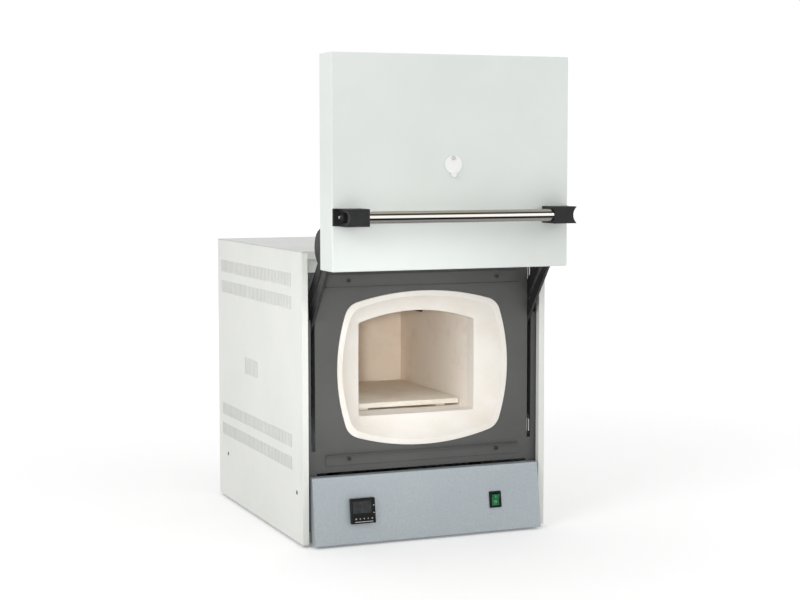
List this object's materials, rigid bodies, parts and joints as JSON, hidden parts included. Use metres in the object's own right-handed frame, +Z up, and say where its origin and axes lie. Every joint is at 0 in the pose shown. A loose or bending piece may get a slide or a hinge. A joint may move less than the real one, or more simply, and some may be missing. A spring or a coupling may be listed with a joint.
{
  "type": "muffle furnace",
  "caption": "Bench-top muffle furnace with arched ceramic chamber, bowed collar, slit-vented sheet casing and a lift-up door on parallel links.",
  "frame": {"origin": "middle of the footprint with the door raised, on the surface under the feet", "axes": "+X to the right seen from the front, +Y towards the back, +Z up"},
  "size_m": [0.5008, 0.744, 0.9106],
  "materials": {
    "black_plastic": "fine moulded texture",
    "bright_steel": "polished stainless",
    "cream_plastic": "satin",
    "dark_enamel": "matt heat-proof coat",
    "display_window": "gloss, smoked",
    "door_enamel": "satin powder coat",
    "fibre_ceramic": "matt vacuum-formed ceramic",
    "fired_ceramic": "matt fired ceramic",
    "galvanised_sheet": "galvanised",
    "green_plastic": "gloss, translucent",
    "grey_enamel": "satin powder coat",
    "hearth_ceramic": "matt fired ceramic",
    "insulation_board": "fibrous board",
    "key_plastic": "satin",
    "light_enamel": "satin powder coat",
    "panel_enamel": "fine metallic texture",
    "pin_steel": "blackened",
    "resistance_wire": "oxidised",
    "rubber": "matt",
    "screw_steel": "blackened"
  },
  "bodies": {
    "casing": {"arm_bracket_left": "dark_enamel", "arm_bracket_right": "dark_enamel", "base_tray": "grey_enamel", "cable_gland": "black_plastic", "casing_pivot_pins": "pin_steel", "clamp_screws": "screw_steel", "control_panel": "panel_enamel", "controller_housing": "black_plastic", "controller_window": "display_window", "flue_tube": "bright_steel", "front_plate": "dark_enamel", "hearth_plate": "hearth_ceramic", "heating_winding": "resistance_wire", "inner_casing": "galvanised_sheet", "insulation_floor": "insulation_board", "insulation_front": "insulation_board", "insulation_rear": "insulation_board", "insulation_roof": "insulation_board", "insulation_sides": "insulation_board", "lower_clamp_strip": "dark_enamel", "muffle_collar": "fibre_ceramic", "muffle_rear_plug": "fired_ceramic", "muffle_tube": "fired_ceramic", "panel_screws": "screw_steel", "rear_panel": "grey_enamel", "rocker_housing": "black_plastic", "rubber_feet": "rubber", "side_panel_left": "light_enamel", "side_panel_right": "light_enamel", "solid_state_relay": "black_plastic", "support_channels": "galvanised_sheet", "terminal_block": "cream_plastic", "thermocouple": "resistance_wire", "top_cover": "grey_enamel", "top_rail": "grey_enamel", "upper_clamp_strip": "dark_enamel"},
    "lift_arm_left": {"lift_arm_left": "dark_enamel"},
    "lift_arm_right": {"lift_arm_right": "dark_enamel"},
    "guide_link_left": {"guide_link_left": "dark_enamel"},
    "guide_link_right": {"guide_link_right": "dark_enamel"},
    "sight_cover": {"sight_cover": "door_enamel"},
    "rocker": {"rocker": "green_plastic"},
    "door": {"door_shell": "door_enamel", "door_back_plate": "galvanised_sheet", "door_plug": "fibre_ceramic", "door_insulation": "insulation_board", "door_bracket_left": "galvanised_sheet", "door_bracket_right": "galvanised_sheet", "door_pivot_pins": "pin_steel", "handle_tube": "bright_steel", "handle_bracket_left": "black_plastic", "handle_bracket_right": "black_plastic", "sight_tube": "fired_ceramic", "cover_rivet": "bright_steel"},
    "key_1": {"controller_key_1": "key_plastic"},
    "key_2": {"controller_key_2": "key_plastic"},
    "key_3": {"controller_key_3": "key_plastic"},
    "key_4": {"controller_key_4": "key_plastic"},
    "key_5": {"controller_key_5": "key_plastic"}
  },
  "joints": [
    {"name": "door_lift", "type": "hinge", "parent": "casing", "child": "lift_arm_left", "pos_m": [-0.2238, -0.14473, 0.42696], "axis": [1, 0, 0], "range_deg": [0, 123.9]},
    {"name": "lift_arm_right_pivot", "type": "hinge", "parent": "casing", "child": "lift_arm_right", "pos_m": [0.2238, -0.14473, 0.42696], "axis": [1, 0, 0], "range_deg": [0, 123.9]},
    {"name": "guide_link_left_pivot", "type": "hinge", "parent": "casing", "child": "guide_link_left", "pos_m": [-0.2238, -0.13343, 0.366], "axis": [1, 0, 0], "range_deg": [0, 123.9]},
    {"name": "guide_link_right_pivot", "type": "hinge", "parent": "casing", "child": "guide_link_right", "pos_m": [0.2238, -0.13343, 0.366], "axis": [1, 0, 0], "range_deg": [0, 123.9]},
    {"name": "door_on_lift_arm", "type": "hinge", "parent": "lift_arm_left", "child": "door", "pos_m": [-0.2238, -0.2848, 0.60305], "axis": [1, 0, 0], "range_deg": [-123.9, 0]},
    {"name": "sight_cover_swing", "type": "hinge", "parent": "door", "child": "sight_cover", "pos_m": [0, -0.32037, 0.72425], "axis": [0, 1, 0], "range_deg": [-110, 110]},
    {"name": "rocker_tilt", "type": "hinge", "parent": "casing", "child": "rocker", "pos_m": [0.138, -0.21063, 0.06487], "axis": [1, 0, 0], "range_deg": [-20, 0]},
    {"name": "key_1_press", "type": "slide", "parent": "casing", "child": "key_1", "axis": [0, 0.9894, -0.1452], "range_m": [0, 0.0005], "stiffness_N_per_m": 400, "springref_m": -0.0005},
    {"name": "key_2_press", "type": "slide", "parent": "casing", "child": "key_2", "axis": [0, 0.9894, -0.1452], "range_m": [0, 0.0005], "stiffness_N_per_m": 400, "springref_m": -0.0005},
    {"name": "key_3_press", "type": "slide", "parent": "casing", "child": "key_3", "axis": [0, 0.9894, -0.1452], "range_m": [0, 0.0005], "stiffness_N_per_m": 400, "springref_m": -0.0005},
    {"name": "key_4_press", "type": "slide", "parent": "casing", "child": "key_4", "axis": [0, 0.9894, -0.1452], "range_m": [0, 0.0005], "stiffness_N_per_m": 400, "springref_m": -0.0005},
    {"name": "key_5_press", "type": "slide", "parent": "casing", "child": "key_5", "axis": [0, 0.9894, -0.1452], "range_m": [0, 0.0005], "stiffness_N_per_m": 400, "springref_m": -0.0005}
  ],
  "couplings": [
    {"joint": "lift_arm_right_pivot", "follows": "door_lift", "ratio": 1},
    {"joint": "guide_link_left_pivot", "follows": "door_lift", "ratio": 1},
    {"joint": "guide_link_right_pivot", "follows": "door_lift", "ratio": 1},
    {"joint": "door_on_lift_arm", "follows": "door_lift", "ratio": -1}
  ]
}
